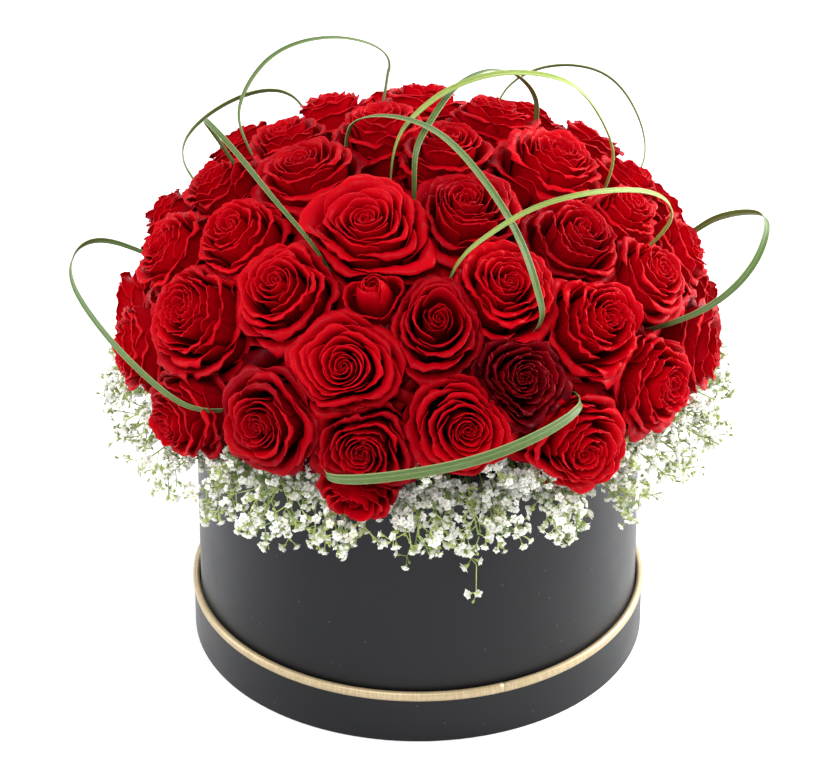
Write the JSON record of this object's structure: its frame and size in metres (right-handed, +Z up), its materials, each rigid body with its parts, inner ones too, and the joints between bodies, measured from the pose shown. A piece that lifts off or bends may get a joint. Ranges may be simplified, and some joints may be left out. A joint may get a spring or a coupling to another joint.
{
  "type": "flower box",
  "caption": "Round black hat box standing in its upturned lid, filled with a domed bouquet of red roses, a skirt of white florets and looped grass.",
  "frame": {"origin": "centre of the underside of the upturned lid, on the surface the flower box stands on", "axes": "+Z up along the axis of the round box, front towards -Y"},
  "size_m": [0.3647, 0.34, 0.3298],
  "materials": {
    "board": "grey board faced in black, matt",
    "black_paper": "satin black covering paper",
    "gold_cord": "matt gold metallic cord",
    "liner_plastic": "dark green thin plastic",
    "floral_foam": "soaked green foam, matt",
    "rose_petal": "velvety red petals",
    "rose_stem": "green stem, hip and calyx",
    "breath": "white florets on thin green stems",
    "grass": "dark grey-green blade",
    "grass_light": "light green blade"
  },
  "bodies": {
    "lid": {"lid_disc": "board", "lid_band": "board", "lid_wrap": "black_paper", "lid_trim": "gold_cord"},
    "box": {"box_base": "board", "box_wall": "board", "box_wrap": "black_paper"},
    "bouquet": {"liner": "liner_plastic", "foam": "floral_foam", "rose_stems": "rose_stem", "rose_01": "rose_petal", "rose_02": "rose_petal", "rose_03": "rose_petal", "rose_04": "rose_petal", "rose_05": "rose_petal", "rose_06": "rose_petal", "rose_07": "rose_petal", "rose_08": "rose_petal", "rose_09": "rose_petal", "rose_10": "rose_petal", "rose_11": "rose_petal", "rose_12": "rose_petal", "rose_13": "rose_petal", "rose_14": "rose_petal", "rose_15": "rose_petal", "rose_16": "rose_petal", "rose_17": "rose_petal", "rose_18": "rose_petal", "rose_19": "rose_petal", "rose_20": "rose_petal", "rose_21": "rose_petal", "rose_22": "rose_petal", "rose_23": "rose_petal", "rose_24": "rose_petal", "rose_25": "rose_petal", "rose_26": "rose_petal", "rose_27": "rose_petal", "rose_28": "rose_petal", "rose_29": "rose_petal", "rose_30": "rose_petal", "rose_31": "rose_petal", "rose_32": "rose_petal", "roses_back_upper": "rose_petal", "roses_back_middle": "rose_petal", "roses_back_lower": "rose_petal", "breath_front": "breath", "breath_right": "breath", "breath_back": "breath", "breath_left": "breath", "grass_01": "grass", "grass_02": "grass", "grass_03": "grass", "grass_04": "grass", "grass_05": "grass", "grass_06": "grass_light", "grass_07": "grass", "grass_08": "grass", "grass_09": "grass_light", "grass_10": "grass", "grass_11": "grass"}
  },
  "joints": [
    {"name": "box_lift", "type": "slide", "parent": "lid", "child": "box", "axis": [0, 0, 1], "range_m": [0, 0.06]},
    {"name": "bouquet_lift", "type": "slide", "parent": "box", "child": "bouquet", "axis": [0, 0, 1], "range_m": [0, 0.2]}
  ]
}
